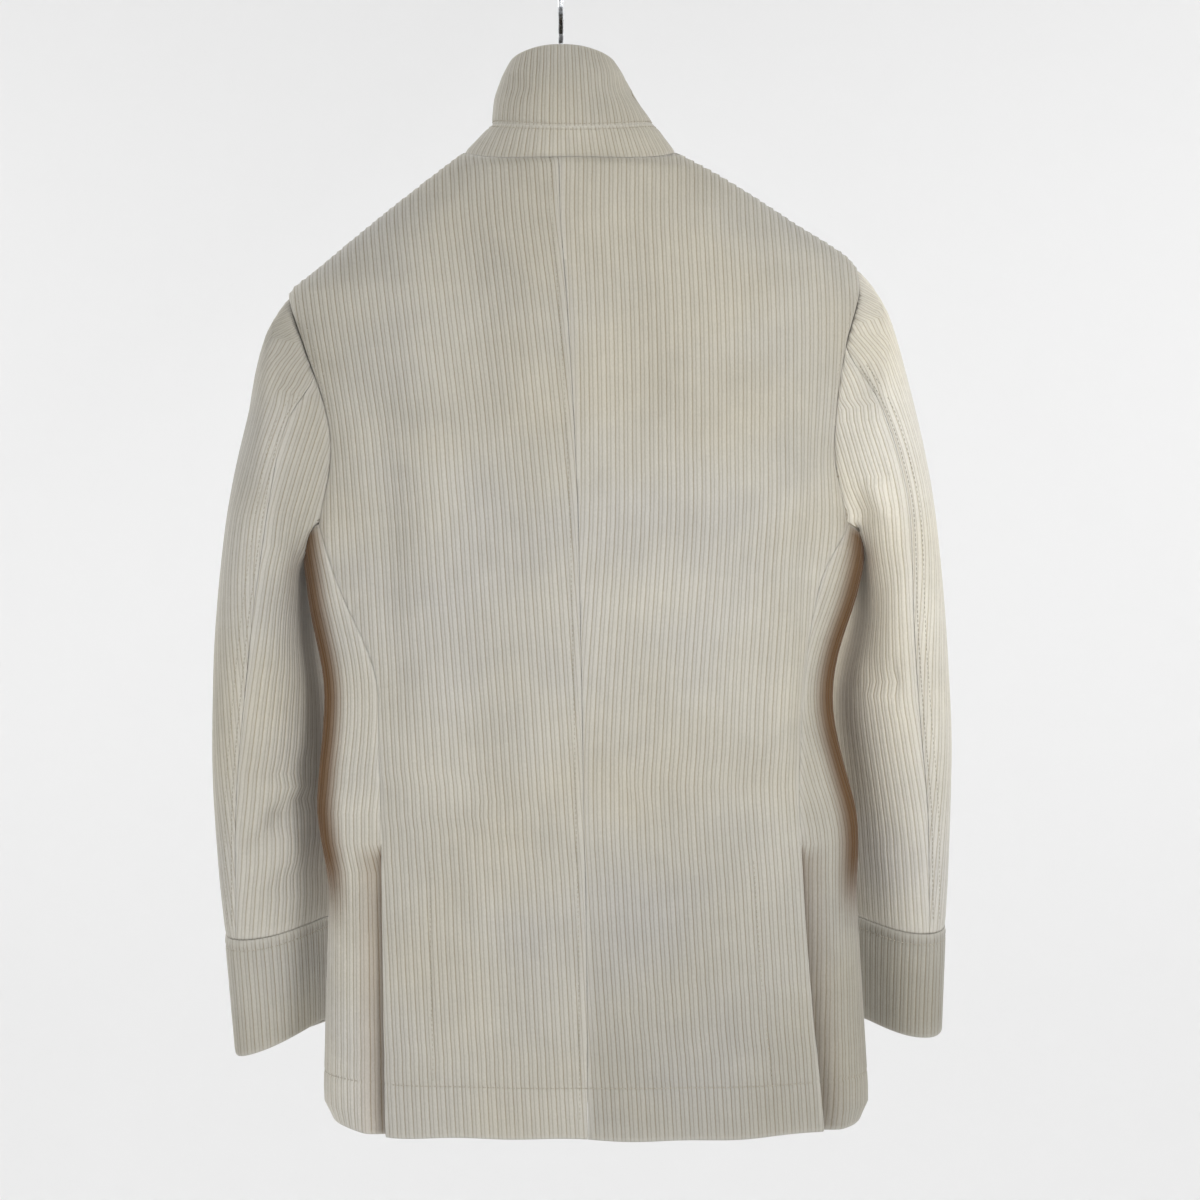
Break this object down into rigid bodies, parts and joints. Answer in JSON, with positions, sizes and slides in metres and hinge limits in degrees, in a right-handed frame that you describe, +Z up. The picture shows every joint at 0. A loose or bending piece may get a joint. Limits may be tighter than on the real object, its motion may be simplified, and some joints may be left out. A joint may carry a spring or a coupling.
{
  "type": "corduroy peacoat on a hanger",
  "caption": "Double-breasted hip-length peacoat in broad-wale corduroy, collar turned up, side-back vents and deep cuffs, hung on a shaped wooden hanger.",
  "frame": {"origin": "inside top of the hanger's hook, where the rod bears", "axes": "+Z up, the coat's front faces -Y, the wearer's left is +X"},
  "size_m": [0.6178, 0.1945, 0.9563],
  "materials": {
    "corduroy": "matt raised wales",
    "horn": "polished horn",
    "beech": "varnished",
    "steel": "plated wire"
  },
  "bodies": {
    "root": {"back_left": "corduroy", "back_right": "corduroy", "side_left": "corduroy", "side_right": "corduroy", "front_left": "corduroy", "front_right": "corduroy", "top_sleeve_left": "corduroy", "top_sleeve_right": "corduroy", "under_sleeve_left": "corduroy", "under_sleeve_right": "corduroy", "cuff_left": "corduroy", "cuff_right": "corduroy", "collar_stand": "corduroy", "collar_leaf": "corduroy", "button_1": "horn", "button_2": "horn", "button_3": "horn", "button_4": "horn", "button_5": "horn", "button_6": "horn", "hanger": "beech", "hook": "steel"}
  },
  "joints": []
}
